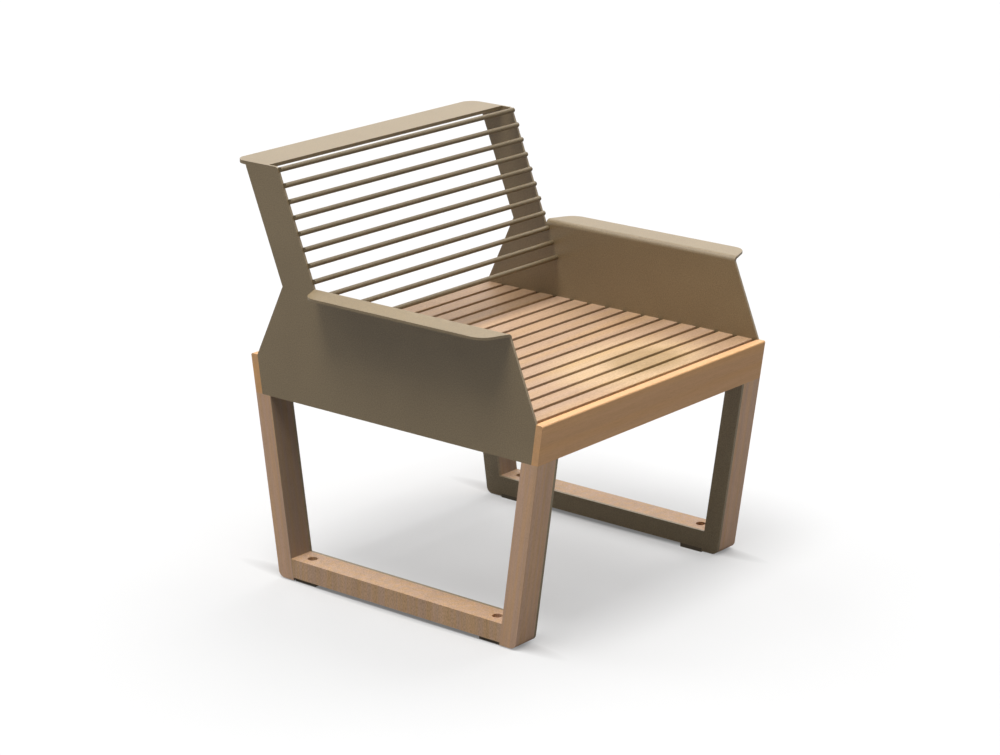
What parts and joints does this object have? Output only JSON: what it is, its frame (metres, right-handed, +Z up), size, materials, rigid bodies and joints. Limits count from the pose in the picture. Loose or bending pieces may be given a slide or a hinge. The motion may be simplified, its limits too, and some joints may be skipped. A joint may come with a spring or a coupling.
{
  "type": "garden armchair",
  "caption": "Outdoor armchair with bent sheet metal sides, slanted timber sled legs, a slatted timber seat and a back of round metal bars.",
  "frame": {"origin": "middle of the chair's whole box, on the ground under the foot pads", "axes": "+X to the right as seen from the front, +Y to the back of the chair, +Z up"},
  "size_m": [0.816, 0.7544, 0.829],
  "materials": {
    "sheet_paint": "fine textured powder coat, taupe bronze",
    "frame_paint": "fine textured powder coat, dark olive bronze",
    "slat_wood": "oiled light hardwood, fine straight grain",
    "board_wood": "oiled light hardwood, fine straight grain",
    "leg_wood": "oiled light hardwood, fine straight grain",
    "pad_rubber": "matt dark rubber",
    "fixings": "stainless steel"
  },
  "bodies": {
    "root": {"side_panel_left": "sheet_paint", "side_panel_right": "sheet_paint", "back_top_plate": "sheet_paint", "back_rod_01": "sheet_paint", "back_rod_02": "sheet_paint", "back_rod_03": "sheet_paint", "back_rod_04": "sheet_paint", "back_rod_05": "sheet_paint", "back_rod_06": "sheet_paint", "back_rod_07": "sheet_paint", "back_rod_08": "sheet_paint", "back_rod_09": "sheet_paint", "back_rod_10": "sheet_paint", "back_rod_11": "sheet_paint", "front_board": "board_wood", "rear_board": "board_wood", "seat_slat_01": "slat_wood", "seat_slat_02": "slat_wood", "seat_slat_03": "slat_wood", "seat_slat_04": "slat_wood", "seat_slat_05": "slat_wood", "seat_slat_06": "slat_wood", "seat_slat_07": "slat_wood", "seat_slat_08": "slat_wood", "seat_slat_09": "slat_wood", "seat_slat_10": "slat_wood", "seat_slat_11": "slat_wood", "seat_slat_12": "slat_wood", "seat_slat_13": "slat_wood", "seat_slat_14": "slat_wood", "seat_slat_15": "slat_wood", "front_leg_left": "leg_wood", "front_leg_right": "leg_wood", "rear_leg_left": "leg_wood", "rear_leg_right": "leg_wood", "bottom_rail_left": "leg_wood", "bottom_rail_right": "leg_wood", "front_leg_plate_left": "frame_paint", "front_leg_plate_right": "frame_paint", "rear_leg_plate_left": "frame_paint", "rear_leg_plate_right": "frame_paint", "bottom_flat_left": "frame_paint", "top_flat_left": "frame_paint", "side_bearer_left": "frame_paint", "bottom_flat_right": "frame_paint", "top_flat_right": "frame_paint", "side_bearer_right": "frame_paint", "centre_bearer": "frame_paint", "front_tie": "frame_paint", "rear_tie": "frame_paint", "foot_pad_front_left": "pad_rubber", "foot_pad_front_right": "pad_rubber", "foot_pad_rear_left": "pad_rubber", "foot_pad_rear_right": "pad_rubber", "slat_screws": "fixings", "board_bolts": "fixings", "leg_screws": "frame_paint"}
  },
  "joints": []
}
